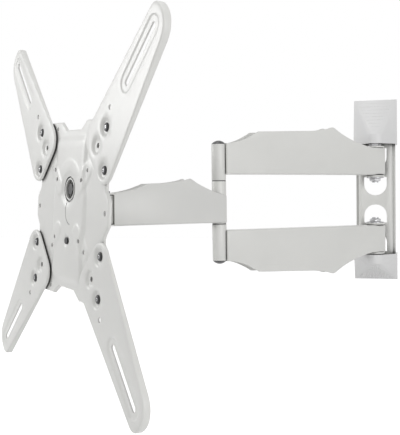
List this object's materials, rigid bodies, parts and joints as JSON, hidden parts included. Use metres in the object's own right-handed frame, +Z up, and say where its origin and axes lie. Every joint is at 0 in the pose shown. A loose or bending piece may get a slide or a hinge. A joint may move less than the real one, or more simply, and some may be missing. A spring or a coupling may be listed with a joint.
{
  "type": "swivel tv wall mount",
  "caption": "Full-motion wall mount for a flat screen: a wall bracket, paired swinging arms, a forearm, and a tilting, levelling screen plate with bolted adapter arms.",
  "frame": {"origin": "on the wall face of the bracket, midway between the two lag-screw holes that stand 220 mm apart and between the two wall arms", "axes": "+X along the wall to the right, +Y square into the wall, +Z up; the screen side is towards -Y"},
  "size_m": [0.5857, 0.5482, 0.4693],
  "materials": {
    "white_paint": "satin powder coat",
    "cover_plastic": "fine satin",
    "zinc_steel": "zinc plated",
    "black_steel": "black oxide",
    "cap_plastic": "gloss",
    "bush_plastic": "plain"
  },
  "bodies": {
    "wall_mount": {"wall_bracket": "white_paint", "cover_top": "cover_plastic", "cover_bottom": "cover_plastic", "pivot_bolt_upper": "zinc_steel", "pivot_bolt_lower": "zinc_steel", "pivot_nuts": "zinc_steel", "pivot_washers": "bush_plastic"},
    "wall_arms": {"arm_upper": "white_paint", "arm_lower": "white_paint", "pivot_sleeves": "zinc_steel", "elbow_tube_upper": "white_paint", "elbow_tube_lower": "white_paint", "elbow_shaft": "zinc_steel", "elbow_nut": "zinc_steel", "elbow_cap_upper": "cap_plastic", "elbow_cap_lower": "cap_plastic"},
    "forearm": {"forearm": "white_paint", "elbow_tube_middle": "white_paint", "elbow_bushes": "bush_plastic", "swivel_pin": "black_steel"},
    "swivel_head": {"swivel_tube": "white_paint", "swivel_bushes": "bush_plastic", "swivel_bracket": "white_paint"},
    "tilt_head": {"tilt_bracket": "white_paint", "tilt_bolt": "zinc_steel", "tilt_nut": "zinc_steel", "tilt_washers": "bush_plastic", "hub_cup": "white_paint", "hub_bolt": "black_steel", "hub_nut": "zinc_steel"},
    "screen_plate": {"screen_plate": "white_paint", "level_disc": "bush_plastic", "adapter_upper_right": "white_paint", "adapter_upper_left": "white_paint", "adapter_lower_right": "white_paint", "adapter_lower_left": "white_paint", "adapter_screws": "zinc_steel", "adapter_nuts": "zinc_steel", "level_screw": "black_steel", "level_nut": "zinc_steel"}
  },
  "joints": [
    {"name": "wall_swivel", "type": "hinge", "parent": "wall_mount", "child": "wall_arms", "pos_m": [0, -0.045, 0], "axis": [0, 0, 1], "range_deg": [-42, 137]},
    {"name": "elbow_swivel", "type": "hinge", "parent": "wall_arms", "child": "forearm", "pos_m": [-0.21046, -0.23718, 0], "axis": [0, 0, -1], "range_deg": [-120, 120]},
    {"name": "head_swivel", "type": "hinge", "parent": "forearm", "child": "swivel_head", "pos_m": [-0.33479, -0.35516, 0], "axis": [0, 0, 1], "range_deg": [-66, 66]},
    {"name": "head_tilt", "type": "hinge", "parent": "swivel_head", "child": "tilt_head", "pos_m": [-0.34959, -0.37143, -0.00715], "axis": [0.7396, -0.673, 0], "range_deg": [-2.1, 17.9]},
    {"name": "plate_level", "type": "hinge", "parent": "tilt_head", "child": "screen_plate", "pos_m": [-0.36788, -0.39153, 0.01976], "axis": [-0.6722, -0.7387, 0.0506], "range_deg": [-0.5, 5.5]}
  ]
}
